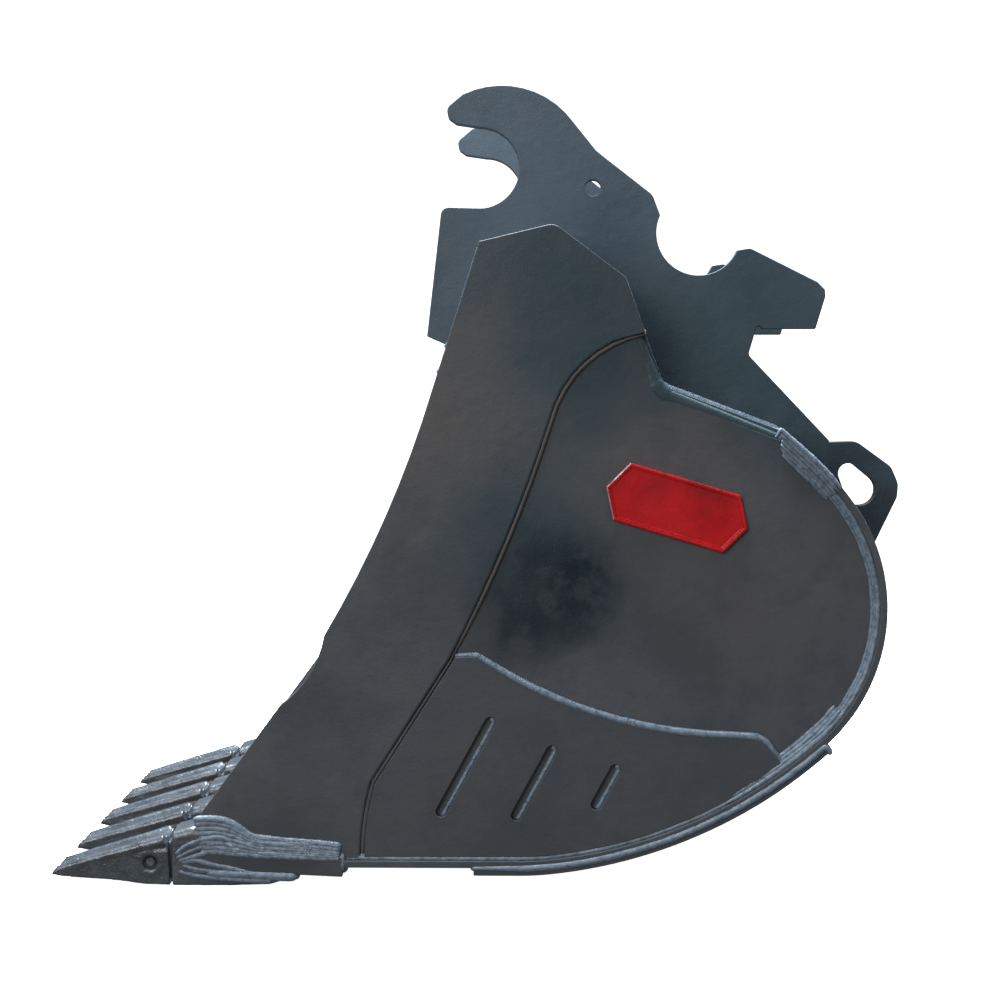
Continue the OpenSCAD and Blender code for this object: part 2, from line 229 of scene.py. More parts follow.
@dataclass(frozen=True)
class Paint:
    """Sprayed paint on steel: cloudy colour, fine specks, orange peel and uneven gloss; placed clouds of painted
    reflection and shade; specks, which on welds and castings are painted glints.
    """

    name: str
    base: Colour
    dark: Colour
    warm: Colour
    specks_and_glints: Colour = (0.16, 0.19, 0.22)
    speck_and_glint_share: float = 0.25
    cloud_scale: float = 3.0
    peel_scale: float = 380.0
    peel_depth: float = 0.0003
    lump_scale: float = 60.0
    lump_depth: float = 0.0006
    rough_low: float = 0.36
    rough_high: float = 0.56
    metallic: float = 0.0
    gloss: float = 0.3
    mottle: float = 0.45
    reflection_shade_zones: tuple[Zone, ...] = ()

    def material(self) -> bpy.types.Material:
        """Builds the material, or returns the one built before.

        Returns:
            The material.
        """
        known = bpy.data.materials.get(self.name)
        if known is not None:
            return known
        made = bpy.data.materials.new(self.name)
        made.use_nodes = True
        tree = Tree(made.node_tree)
        shader = made.node_tree.nodes["Principled BSDF"]
        place = tree.add("ShaderNodeTexCoord").outputs["Object"]
        colour = self._colour(tree, place)
        made.node_tree.links.new(colour, shader.inputs["Base Color"])
        rough = tree.ramp(tree.noise(place, 11.0, 4.0), 0.3, 0.7, self.rough_low, self.rough_high)
        made.node_tree.links.new(rough, shader.inputs["Roughness"])
        made.node_tree.links.new(self._bump(tree, place), shader.inputs["Normal"])
        shader.inputs["Metallic"].default_value = self.metallic
        shader.inputs["Specular IOR Level"].default_value = self.gloss
        made.diffuse_color = rgba(self.base)
        return made

    def _colour(self, tree: Tree, place: bpy.types.NodeSocket) -> bpy.types.NodeSocket:
        """The paint's colour: clouds from dark to warm, placed clouds of painted reflection and shade, then light
        specks, which on welds and castings are painted glints.

        Args:
            tree: the tree that is being drawn.
            place: the socket that gives the place on the object.

        Returns:
            The colour's socket.
        """
        cloud = tree.noise(place, self.cloud_scale, 5.0, Roughness=0.55)
        colour = tree.blend(tree.ramp(cloud, 0.34, 0.52, 0.0, 1.0), rgba(self.dark), rgba(self.base))
        colour = tree.blend(tree.ramp(cloud, 0.52, 0.70, 0.0, 1.0), colour, rgba(self.warm))
        # Soft clouds of painted reflection and shade, placed on the side view.
        if self.reflection_shade_zones:
            stir = tree.noise(place, 5.0, 4.0).node.outputs["Color"]
            shift = tree.vector("SCALE", tree.vector("SUBTRACT", stir, (0.5, 0.5, 0.5)), REFLECTION_SHADE_STIR)
            flat = tree.vector("MULTIPLY", tree.vector("ADD", place, shift), (1.0, 0.0, 1.0))
            for painted_cloud in self.reflection_shade_zones:
                away = tree.vector("DISTANCE", flat, (painted_cloud.x, 0.0, painted_cloud.z))
                near = tree.ramp(away, 0.0, painted_cloud.radius, painted_cloud.strength, 0.0)
                colour = tree.blend(near, colour, rgba(painted_cloud.tint))
        mottle = tree.noise(place, 17.0, 6.0, Roughness=0.62)
        colour = tree.blend(tree.ramp(mottle, 0.46, 0.66, 0.0, self.mottle), colour, rgba(self.dark))
        # Light specks: dust on the plain paints, painted glints on the weld and casting paints.
        grain = tree.noise(place, 620.0)
        return tree.blend(tree.ramp(grain, 0.66, 0.78, 0.0, self.speck_and_glint_share), colour, rgba(self.specks_and_glints))

    def _bump(self, tree: Tree, place: bpy.types.NodeSocket) -> bpy.types.NodeSocket:
        """Orange peel over slow lumps, as a normal.

        Args:
            tree: the tree that is being drawn.
            place: the socket that gives the place on the object.

        Returns:
            The normal's socket.
        """
        lumps = tree.noise(place, self.lump_scale, 3.0)
        first = tree.add("ShaderNodeBump", {"Height": lumps, "Distance": self.lump_depth, "Strength": 1.0})
        peel = {"Height": tree.noise(place, self.peel_scale), "Distance": self.peel_depth, "Strength": 1.0}
        return tree.add("ShaderNodeBump", {**peel, "Normal": first.outputs[0]}).outputs[0]


# Tints of painted reflection and shade: teal and deep teal where the plates would mirror dark surroundings and lie
# in shade, umber where they would mirror lighter ones.
TEAL_REFLECTION_SHADE: Colour = (0.030, 0.052, 0.064)
DEEP_TEAL_REFLECTION_SHADE: Colour = (0.003, 0.012, 0.018)
UMBER_REFLECTION: Colour = (0.092, 0.085, 0.086)
# Clouds of painted reflection and shade on the plates; the last one is a darker cloud low at the front, by the
# lip.
PLATE_REFLECTION_SHADE = (
    Zone(0.14, -0.20, 0.34, TEAL_REFLECTION_SHADE, 1.0),
    Zone(0.22, -0.34, 0.20, TEAL_REFLECTION_SHADE, 1.0),
    Zone(0.33, -0.38, 0.16, TEAL_REFLECTION_SHADE, 1.0),
    Zone(0.42, -0.425, 0.13, TEAL_REFLECTION_SHADE, 1.0),
    Zone(0.50, -0.465, 0.12, TEAL_REFLECTION_SHADE, 1.0),
    Zone(0.06, -0.60, 0.20, TEAL_REFLECTION_SHADE, 0.9),
    Zone(0.13, -0.68, 0.16, TEAL_REFLECTION_SHADE, 0.8),
    Zone(0.135, -0.715, 0.16, DEEP_TEAL_REFLECTION_SHADE, 0.9),
    Zone(0.085, -0.785, 0.12, DEEP_TEAL_REFLECTION_SHADE, 0.8),
    Zone(0.165, -0.685, 0.11, DEEP_TEAL_REFLECTION_SHADE, 0.7),
    Zone(0.045, -0.315, 0.10, UMBER_REFLECTION, 0.7),
    Zone(-0.06, -0.43, 0.15, UMBER_REFLECTION, 0.9),
    Zone(-0.12, -0.56, 0.15, UMBER_REFLECTION, 0.7),
    Zone(0.30, -0.52, 0.20, UMBER_REFLECTION, 0.8),
    Zone(0.44, -0.74, 0.20, UMBER_REFLECTION, 0.6),
    Zone(-0.36, -1.20, 0.20, (0.048, 0.054, 0.062), 0.9),
)
# The body's grey paint carries the plates' painted reflection and shade.
BODY_PAINT = Paint(
    "body_paint_grey", base=(0.080, 0.086, 0.097), dark=(0.056, 0.062, 0.072), warm=(0.094, 0.096, 0.103),
    reflection_shade_zones=PLATE_REFLECTION_SHADE,
)
# Lighter, browner paint for the edge plate's seam bead: a painted highlight along the bead.
SEAM_HIGHLIGHT_PAINT = Paint(
    "seam_grey_painted_highlight", base=(0.105, 0.098, 0.096), dark=(0.070, 0.072, 0.076), warm=(0.130, 0.116, 0.108),
    cloud_scale=9.0,
)
WEAR_PAINT = Paint(
    "wear_plate_grey", base=(0.069, 0.075, 0.086), dark=(0.053, 0.059, 0.069), warm=(0.078, 0.081, 0.089),
    rough_low=0.42, rough_high=0.60,
)
EAR_PAINT = Paint(
    "ear_blue_grey", base=(0.070, 0.098, 0.125), dark=(0.052, 0.076, 0.098), warm=(0.080, 0.108, 0.134),
    mottle=0.4,
    # Clouds of painted reflection and shade on the ears, darkest low at the back.
    reflection_shade_zones=(
        Zone(0.46, -0.42, 0.36, TEAL_REFLECTION_SHADE, 1.0), Zone(0.26, -0.36, 0.26, TEAL_REFLECTION_SHADE, 0.9), Zone(0.62, -0.50, 0.22, TEAL_REFLECTION_SHADE, 0.8),
        Zone(0.50, -0.22, 0.16, TEAL_REFLECTION_SHADE, 0.6), Zone(0.72, -0.58, 0.18, (0.026, 0.036, 0.044), 1.0),
    ),
)
# Lighter, bluer paint with many light specks for the weld beads: a painted highlight and painted glints on them.
WELD_HIGHLIGHT_PAINT = Paint(
    "weld_blue_grey_painted_highlight", base=(0.160, 0.210, 0.270), dark=(0.095, 0.126, 0.162), warm=(0.220, 0.275, 0.335),
    specks_and_glints=(0.42, 0.50, 0.58), speck_and_glint_share=0.6, cloud_scale=110.0, rough_low=0.24, rough_high=0.42,
    lump_scale=420.0, lump_depth=0.0010, gloss=0.5, mottle=0.2,
)
# The light blue specks on the castings are painted glints.
CAST_PAINT = Paint(
    "casting_blue_grey", base=(0.048, 0.059, 0.072), dark=(0.031, 0.038, 0.046), warm=(0.068, 0.083, 0.100),
    specks_and_glints=(0.26, 0.33, 0.40), speck_and_glint_share=0.35, cloud_scale=30.0, rough_low=0.20, rough_high=0.34,
    lump_scale=260.0, lump_depth=0.0008, gloss=1.0,
)
BADGE_PAINT = Paint(
    "badge_red", base=(0.52, 0.008, 0.012), dark=(0.36, 0.006, 0.009), warm=(0.60, 0.012, 0.016),
    specks_and_glints=(0.70, 0.06, 0.06), speck_and_glint_share=0.2, cloud_scale=14.0, rough_low=0.26, rough_high=0.4,
)
# The badge rim's bare metal, used only on the chamfers that face up and to the left: wear together with a painted
# highlight.
BADGE_WORN_LIT_EDGE = Paint(
    "badge_worn_and_lit_edge", base=(0.45, 0.47, 0.50), dark=(0.34, 0.10, 0.10), warm=(0.58, 0.60, 0.63),
    cloud_scale=60.0, rough_low=0.28, rough_high=0.45, metallic=0.6, gloss=0.5,
)
PIN_PAINT = Paint(
    "pin_end_grey", base=(0.090, 0.104, 0.120), dark=(0.060, 0.072, 0.084), warm=(0.120, 0.136, 0.152),
    cloud_scale=80.0, rough_low=0.3, rough_high=0.5,
)
SPRING_STEEL = Paint(
    "spring_steel", base=(0.38, 0.39, 0.40), dark=(0.30, 0.31, 0.32), warm=(0.44, 0.45, 0.46),
    cloud_scale=90.0, rough_low=0.28, rough_high=0.42, metallic=1.0, gloss=0.5, mottle=0.2,
)


# ---------------------------------------------------------------- mesh work


SAME_CORNER = 2e-5  # corners of a CAD mesh nearer than this are one
SHORT_EDGE = 7e-4  # edges of a plate shorter than this are closed up before its edges are broken
FLAT_ANGLE = math.radians(0.35)  # faces that meet at less than this are one flat face
ON_FACE = 4e-4  # how far from a flat face its corners may lie
X_AXIS, Y_AXIS, Z_AXIS = Vector((1.0, 0.0, 0.0)), Vector((0.0, 1.0, 0.0)), Vector((0.0, 0.0, 1.0))


def merged(node: str) -> bmesh.types.BMesh:
    """A copy of a CAD node's mesh with its doubles merged and its flat faces whole.

    Args:
        node: the CAD node's name.

    Returns:
        The new mesh, which the caller frees.
    """
    work = bmesh.new()
    work.from_mesh(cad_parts[node].data)
    bmesh.ops.remove_doubles(work, verts=work.verts, dist=SAME_CORNER)
    bmesh.ops.dissolve_limit(
        work, angle_limit=FLAT_ANGLE, verts=work.verts, edges=work.edges, use_dissolve_boundaries=False
    )
    return work


def linked(name: str, data: bpy.types.ID) -> bpy.types.Object:
    """A new object in the scene, at the origin.

    Args:
        name: the object's name.
        data: its mesh, camera or light.

    Returns:
        The new object.
    """
    made = bpy.data.objects.new(name, data)
    bpy.context.scene.collection.objects.link(made)
    return made


def smoothed(mesh: bpy.types.Mesh) -> None:
    """Shades every face of a mesh smooth."""
    mesh.polygons.foreach_set("use_smooth", [True] * len(mesh.polygons))


def unit(value: float) -> float:
    """A value held between 0 and 1."""
    return min(1.0, max(0.0, value))


def ring(work: bmesh.types.BMesh, centre: Vector, side: Vector, up: Vector, radius: float,
         count: int) -> list[bmesh.types.BMVert]:
    """Adds a ring of corners about a centre, or a single corner where the radius is zero.

    Args:
        work: the mesh to add to.
        centre: the middle of the ring.
        side: the direction of its first corner.
        up: the direction of the corner a quarter turn on.
        radius: the ring's radius.
        count: how many corners it has.

    Returns:
        The new corners in order.
    """
    if radius == 0.0:
        return [work.verts.new(centre)]
    turns = (2.0 * math.pi * k / count for k in range(count))
    return [work.verts.new(centre + radius * (math.cos(t) * side + math.sin(t) * up)) for t in turns]


def join_rings(work: bmesh.types.BMesh, rings: list[list[bmesh.types.BMVert]]) -> list[bmesh.types.BMFace]:
    """Joins each ring to the next one.

    Args:
        work: the mesh to add to.
        rings: rings of equal count, or single corners, from one end to the other.

    Returns:
        The new faces.
    """
    faces = []
    for near, far in zip(rings, rings[1:]):
        for k in range(max(len(near), len(far))):
            after = k + 1
            quad = [near[k % len(near)], far[k % len(far)], far[after % len(far)], near[after % len(near)]]
            faces.append(work.faces.new(list(dict.fromkeys(quad))))
    return faces


def piece_from(work: bmesh.types.BMesh, name: str, *finishes: Paint, sharp: float = 38.0) -> bpy.types.Object:
    """Turns a finished bmesh into an object.

    Args:
        work: the mesh, which is freed.
        name: the piece's name.
        finishes: its finishes, in the order of its material slots.
        sharp: the angle in degrees past which an edge stays sharp.

    Returns:
        The new object, at the origin.
    """
    mesh = bpy.data.meshes.new(name)
    work.to_mesh(mesh)
    work.free()
    smoothed(mesh)
    mesh.set_sharp_from_angle(angle=math.radians(sharp))
    for finish in finishes:
        mesh.materials.append(finish.material())
    return linked(name, mesh)


def baked(made: bpy.types.Object) -> bpy.types.Object:
    """Applies an object's modifiers by taking the evaluated mesh, and removes them.

    Args:
        made: the object, with its modifiers.

    Returns:
        The same object, with its mesh replaced and no modifiers.
    """
    bpy.context.view_layer.update()
    evaluated = made.evaluated_get(bpy.context.evaluated_depsgraph_get())
    mesh = bpy.data.meshes.new_from_object(evaluated)
    materials = [m for m in made.data.materials if m is not None]
    made.modifiers.clear()
    old = made.data
    made.data = mesh
    mesh.name = made.name
    if not [m for m in mesh.materials if m is not None]:
        mesh.materials.clear()
        for material in materials:
            mesh.materials.append(material)
    bpy.data.meshes.remove(old)
    return made


def placed(made: bpy.types.Object, body: str, slot: str, *nodes: str) -> bpy.types.Object:
    """Puts a piece on its body and hides the CAD nodes that it stands for.

    Args:
        made: the finished object.
        body: the body that it rides on.
        slot: its finish in the record's list; not used.
        nodes: the CAD nodes that it replaces, if any.

    Returns:
        The same object.
    """
    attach(made, body)
    if nodes:
        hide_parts(*nodes)
    LOG.info("%s: %d faces on %s", made.name, len(made.data.polygons), body)
    return made


def outlines(node: str, y: float) -> list[list[Point]]:
    """Closed outlines, on (x, z), of a node's flat face at one y.

    Args:
        node: the CAD node's name.
        y: where the face lies.

    Returns:
        One list of points for each closed outline, the longest first.
    """
    work = merged(node)
    faces = {f for f in work.faces if all(abs(v.co.y - y) < ON_FACE for v in f.verts)}
    nexts: dict[int, list[int]] = {}
    for edge in work.edges:
        if len([f for f in edge.link_faces if f in faces]) == 1:
            a, b = edge.verts[0].index, edge.verts[1].index
            nexts.setdefault(a, []).append(b)
            nexts.setdefault(b, []).append(a)
    work.verts.ensure_lookup_table()
    found, used = [], set()
    for start in nexts:
        if start in used:
            continue
        loop, here, before = [], start, -1
        while here not in used:
            used.add(here)
            co = work.verts[here].co
            loop.append((co.x, co.z))
            ahead = [n for n in nexts[here] if n != before and n not in used]
            before = here
            if not ahead:
                break
            here = ahead[0]
        found.append(loop)
    work.free()
    return sorted(found, key=len, reverse=True)


def stretch(loop: list[Point], start: Point, end: Point, by: Point) -> list[Point]:
    """The part of a closed outline between two places, on the way that passes nearest to a third.

    Args:
        loop: the closed outline.
        start: where the part begins, or near it.
        end: where it ends, or near it.
        by: a place that the wanted way passes.

    Returns:
        The part's points from start to end.
    """
    count = len(loop)
    nearest = [min(range(count), key=lambda i: math.dist(loop[i], p)) for p in (start, end)]
    ways = []
    for step in (1, -1):
        way, i = [loop[nearest[0]]], nearest[0]
        while i != nearest[1]:
            i = (i + step) % count
            way.append(loop[i])
        ways.append(way)
    return min(ways, key=lambda way: min(math.dist(p, by) for p in way))


def offset(path: list[Point], by: float) -> list[Point]:
    """An open path moved to its left by a distance, with mitred corners.

    Args:
        path: the path.
        by: the distance, to the right when negative.

    Returns:
        The moved path, with as many points.
    """
    moved = []
    for i, p in enumerate(path):
        before, after = path[max(i - 1, 0)], path[min(i + 1, len(path) - 1)]
        a = Vector((p[0] - before[0], p[1] - before[1])) if i else None
        b = Vector((after[0] - p[0], after[1] - p[1])) if i < len(path) - 1 else None
        a, b = (a or b).normalized(), (b or a).normalized()
        m = Vector((-a.y - b.y, a.x + b.x)).normalized()
        grow = by / max(0.4, m.dot(Vector((-a.y, a.x))))
        moved.append((p[0] + m.x * grow, p[1] + m.y * grow))
    return moved


def beside(path: list[Point], by: float, rank: Callable[[Point], float]) -> list[Point]:
    """A path moved sideways, to the side where its middle point ranks higher."""
    return max((offset(path, by), offset(path, -by)), key=lambda p: rank(p[len(p) // 2]))


def spline(a: float, b: float, c: float, d: float, t: float) -> float:
    """The value at t, on the way from b to c, of a smooth curve through four numbers."""
    return 0.5 * (2 * b + (c - a) * t + (2 * a - 5 * b + 4 * c - d) * t * t + (3 * b - a - 3 * c + d) * t ** 3)


def eased(path: list[Point], step: float = 0.004) -> list[Point]:
    """A path through the same places with its corners eased by a smooth spline.

    Args:
        path: the path.
        step: about how far apart the new points are.

    Returns:
        The eased path, with the same ends.
    """
    points: list[Point] = []
    for i in range(len(path) - 1):
        p0, p1 = path[max(i - 1, 0)], path[i]
        p2, p3 = path[i + 1], path[min(i + 2, len(path) - 1)]
        parts = max(1, int(math.dist(p1, p2) / step))
        for k in range(parts):
            points.append(tuple(spline(*four, k / parts) for four in zip(p0, p1, p2, p3)))
    return points + [path[-1]]


class NodeShop:
    """A Geometry Nodes tree with named inputs, and its use on objects."""

    title = ""
    numbers: tuple[str, ...] = ()

    def __init__(self) -> None:
        """Makes the group with its inputs and its output, then draws the tree."""
        self.group = bpy.data.node_groups.new(self.title, "GeometryNodeTree")
        sockets = {"Geometry": "Geometry", **dict.fromkeys(self.numbers, "Float"), "Material": "Material"}
        for name, kind in sockets.items():
            self.group.interface.new_socket(name, in_out="INPUT", socket_type=f"NodeSocket{kind}")
        self.group.interface.new_socket("Geometry", in_out="OUTPUT", socket_type="NodeSocketGeometry")
        tree = Tree(self.group)
        self.draw(tree, tree.add("NodeGroupInput").outputs)

    def draw(self, tree: Tree, given: bpy.types.NodeOutputs) -> None:
        """Draws the tree between its inputs and its output."""
        raise NotImplementedError

    def work_on(self, made: bpy.types.Object, values: dict[str, object]) -> bpy.types.Object:
        """Runs the tree on an object and keeps the result as its plain mesh.

        Args:
            made: the object.
            values: the tree's inputs by name.

        Returns:
            The same object, with its mesh replaced.
        """
        modifier = made.modifiers.new(self.title, "NODES")
        modifier.node_group = self.group
        for item in self.group.interface.items_tree:
            if item.in_out == "INPUT" and item.name in values:
                modifier[item.identifier] = values[item.name]
        return baked(made)


# ---------------------------------------------------------------- welds


@dataclass
class Run:
    """One pass of weld along a path of [x, y, z] points."""

    path: list[Vector]
    radius: float = 0.006
    facing: Vector = field(default_factory=lambda: Vector((0.0, -1.0, 0.0)))
    seed: float = 0.0
    waver: float = 0.12


class WeldShop(NodeShop):
    """Makes every weld bead from one Geometry Nodes tree."""

    title = "weld_bead"
    numbers = ("Step", "Flatness", "Ripple Pitch", "Ripple Height", "Roughness", "Grain", "Seed")
    blunt_end = 0.45  # width of a pass at its very end, as a share of its full width
    end_points = 2.5  # points over which its end widens by one full width
    waver_waves = 28.0  # waves of uneven width a metre

    def draw(self, tree: Tree, given: bpy.types.NodeOutputs) -> None:
        """Draws the tree: line, even steps, round bar, ripples and grain, material.

        Args:
            tree: the tree that is being drawn.
            given: the group's input sockets by name.
        """
        line = tree.add("GeometryNodeMeshToCurve", {"Mesh": given["Geometry"]}).outputs[0]
        line = tree.add(
            "GeometryNodeResampleCurve", {"Curve": line, "Length": given["Step"]}, mode="LENGTH"
        ).outputs[0]
        facing = tree.attribute("facing", "FLOAT_VECTOR")
        line = tree.add("GeometryNodeSetCurveNormal", {"Curve": line, "Normal": facing}, mode="FREE").outputs[0]
        spline = tree.add("GeometryNodeSplineParameter").outputs
        line = tree.store(line, "along", spline["Length"])
        hoop = tree.add("GeometryNodeCurvePrimitiveCircle", {"Resolution": 10, "Radius": 1.0}).outputs["Curve"]
        squeeze = tree.add("ShaderNodeCombineXYZ", {"X": given["Flatness"], "Y": 1.0, "Z": 1.0}).outputs[0]
        hoop = tree.add("GeometryNodeTransform", {"Geometry": hoop, "Scale": squeeze}).outputs[0]
        hoop = tree.store(hoop, "across", spline["Factor"])
        sweep = {"Curve": line, "Profile Curve": hoop, "Scale": tree.attribute("size"), "Fill Caps": True}
        bead = tree.add("GeometryNodeCurveToMesh", sweep).outputs[0]
        bend = tree.math("COSINE", tree.math("MULTIPLY", tree.attribute("across"), 4.0 * math.pi))
        steps = tree.math("DIVIDE", tree.attribute("along"), given["Ripple Pitch"])
        phase = tree.math("ADD", steps, tree.math("MULTIPLY", bend, 0.3))
        wave = tree.math("ABSOLUTE", tree.math("SINE", tree.math("MULTIPLY", phase, math.pi)))
        wave = tree.math("MULTIPLY", wave, given["Ripple Height"])
        rough = tree.grain(given["Seed"], given["Grain"], given["Roughness"], 3.0)
        tree.end_with(bead, tree.math("ADD", wave, rough), given["Material"])

    def lay(
        self, name: str, runs: list[Run], flatness: float = 0.8, pitch: float = 0.005, ripple: float = 0.0007,
        rough: float = 0.0022, grain: float = 130.0, step: float = 0.0025, finish: Paint = WELD_HIGHLIGHT_PAINT,
        slot: str = "weld_paint",
    ) -> bpy.types.Object:
        """Lays weld passes as one piece on the bucket.

        Args:
            name: the piece's name.
            runs: the passes.
            flatness: height of a pass as a share of its width.
            pitch: distance between ripples.
            ripple: height of a ripple.
            rough: size of the uneven grain.
            grain: waves of grain a metre.
            step: length of one step along a pass.
            finish: the paint over the weld; by default the lighter weld paint, a painted highlight.
            slot: the record slot of that paint.

        Returns:
            The piece.
        """
        mesh = bpy.data.meshes.new(name)
        points, edges, sizes, facings = [], [], [], []
        for number, run in enumerate(runs):
            first, total = len(points), len(run.path)
            length = 0.0
            for i, p in enumerate(run.path):
                length += (p - run.path[i - 1]).length if i else 0.0
                wave = noise.noise(Vector((length * self.waver_waves, run.seed * 7.3 + number, 0.5)))
                end = min(1.0, self.blunt_end + min(i, total - 1 - i) / self.end_points)
                sizes.append(run.radius * end * (1.0 + run.waver * wave))
                facings += list(run.facing)
                points.append(p)
            edges += [(first + i, first + i + 1) for i in range(total - 1)]
        mesh.from_pydata(points, edges, [])
        mesh.attributes.new("size", "FLOAT", "POINT").data.foreach_set("value", sizes)
        mesh.attributes.new("facing", "FLOAT_VECTOR", "POINT").data.foreach_set("vector", facings)
        made = self.work_on(linked(name, mesh), {
            "Step": step, "Flatness": flatness, "Ripple Pitch": pitch, "Ripple Height": ripple,
            "Roughness": rough, "Grain": grain, "Seed": runs[0].seed, "Material": finish.material(),
        })
        work = bmesh.new()
        work.from_mesh(made.data)
        bmesh.ops.recalc_face_normals(work, faces=work.faces)
        work.to_mesh(made.data)
        work.free()
        smoothed(made.data)
        for attribute in ("size", "facing", "along", "across"):
            if attribute in made.data.attributes:
                made.data.attributes.remove(made.data.attributes[attribute])
        return placed(made, "bucket", slot)


def at_y(path: list[Point], y: float) -> list[Vector]:
    """A side-view path placed at one y."""
    return [Vector((x, y, z)) for x, z in path]


def between(a: tuple[float, float, float], b: tuple[float, float, float], parts: int = 24) -> list[Vector]:
    """Even points on the straight way from a to b."""
    return [Vector(a).lerp(Vector(b), i / parts) for i in range(parts + 1)]


# ---------------------------------------------------------------- plates


@dataclass
class PlateWork:
    """Flame-cut and rolled plates: the CAD shapes with their edges broken and painted."""

    edge_break: float = 0.0016
    ground_round: float = 0.0055
    side_y: float = 0.430
    body_nodes: tuple[str, ...] = (
        "side_plate_left", "side_plate_right", "wrapper_shell", "top_plate", "lip_plate",
        "box_front_plate", "box_top_plate", "box_rear_plate", "box_floor_plate",
        "box_diaphragm_left", "box_diaphragm_right",
    )
    wear_nodes: tuple[str, ...] = (
        "side_wear_plate_left", "side_wear_plate_right", *(f"wear_strip_{i}" for i in range(1, 6)),
    )
    ear_nodes: tuple[str, ...] = (
        "ear_plate_left", "ear_plate_right", "front_tie_plate", "rear_tie_plate", "lifting_eye",
    )

    def build(self) -> None:
        """Makes every plate that is one plain piece of steel."""
        for node in self.body_nodes:
            self.plate(node, BODY_PAINT, "body_paint")
        for node in self.wear_nodes:
            self.plate(node, WEAR_PAINT, "wear_plate_paint")
        for node in self.ear_nodes:
            self.plate(node, EAR_PAINT, "ear_paint")
        for side in Side:
            self.edge_plate(side)

    def plate(self, node: str, finish: Paint, slot: str) -> bpy.types.Object:
        """One plate with broken edges, in place of its CAD node.

        Args:
            node: the CAD node's name.
            finish: its paint.
            slot: the record slot of that paint.

        Returns:
            The piece.
        """
        work = merged(node)
        bmesh.ops.remove_doubles(work, verts=work.verts, dist=SHORT_EDGE)
        self.break_edges(work, self.edge_break)
        return placed(self.weighted(piece_from(work, f"{node}_steel", finish)), "bucket", slot, node)

    def edge_plate(self, side: Side) -> bpy.types.Object:
        """The lapped edge plate, whose inner edge is ground to a wide round.

        Args:
            side: the side of the bucket that it is on.

        Returns:
            The piece.
        """
        node = f"side_edge_plate_{side.word}"
        work = merged(node)
        face_y = side.value * max(abs(v) for v in (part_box(node)[0].y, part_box(node)[1].y))
        outer = [p for loop in outlines(f"side_plate_{side.word}", side.value * self.side_y) for p in loop]
        inner = [
            e for e in work.edges
            if all(abs(v.co.y - face_y) < ON_FACE for v in e.verts)
            and min(math.dist((v.co.x, v.co.z), p) for v in e.verts for p in outer) > 0.004
        ]
        bmesh.ops.bevel(work, geom=inner, offset=self.ground_round, segments=4, profile=0.5, affect="EDGES",
                        clamp_overlap=False)
        self.break_edges(work, self.edge_break, 55.0)
        return placed(self.weighted(piece_from(work, f"{node}_steel", BODY_PAINT)), "bucket", "body_paint", node)

    @staticmethod
    def break_edges(work: bmesh.types.BMesh, width: float, angle: float = 30.0) -> None:
        """Bevels every edge that is sharper than an angle in degrees.

        Args:
            work: the mesh, which is changed.
            width: the width of the bevel.
            angle: edges that turn by less than this stay as they are.
        """
        sharp = [e for e in work.edges if len(e.link_faces) == 2 and e.calc_face_angle(0.0) > math.radians(angle)]
        bmesh.ops.bevel(work, geom=sharp, offset=width, segments=2, profile=0.5, affect="EDGES",
                        clamp_overlap=False)

    @staticmethod
    def weighted(made: bpy.types.Object) -> bpy.types.Object:
        """Gives a plate normals that keep its large faces flat.

        Args:
            made: the plate.

        Returns:
            The same object, with its mesh replaced.
        """
        modifier = made.modifiers.new("normals", "WEIGHTED_NORMAL")
        modifier.keep_sharp = True
        return baked(made)


@dataclass
class Badge:
    """The red badge on each side: a plain panel sunk in a rim whose edge is worn bare and painted light where its
    chamfers face up and left, as a highlight.
    """

    edge_break: float = 0.0025
    face_y: float = 0.4335
    # the way, in the side view (x, z), that the worn chamfers with the painted highlight face
    worn_lit_way: Point = (-0.9, 0.45)

    def build(self) -> None:
        """Makes both badges."""
        for side in Side:
            self.badge(side)

    def badge(self, side: Side) -> bpy.types.Object:
        """One badge, in place of its CAD node.

        Args:
            side: the side of the bucket that it is on.

        Returns:
            The piece.
        """
        node = f"badge_{side.word}"
        work = merged(node)
        centre = sum(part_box(node), Vector()) / 2
        PlateWork.break_edges(work, self.edge_break, 50.0)
        for face in work.faces:
            n, middle = face.normal, face.calc_center_median()
            away = middle - centre
            slanted = 0.15 < abs(n.y) < 0.97 and middle.y * side.value > self.face_y
            outward = n.x * away.x + n.z * away.z > 0
            # Chamfers that face up and to the left get the light bare-metal paint: wear and a painted highlight.
            worn_and_lit = n.x * self.worn_lit_way[0] + n.z * self.worn_lit_way[1] > 0.25 and away.x < -0.02
            face.material_index = int(slanted and outward and worn_and_lit)
        made = piece_from(work, f"{node}_panel", BADGE_PAINT, BADGE_WORN_LIT_EDGE)
        return placed(PlateWork.weighted(made), "bucket", "badge_paint", node)


# ---------------------------------------------------------------- castings


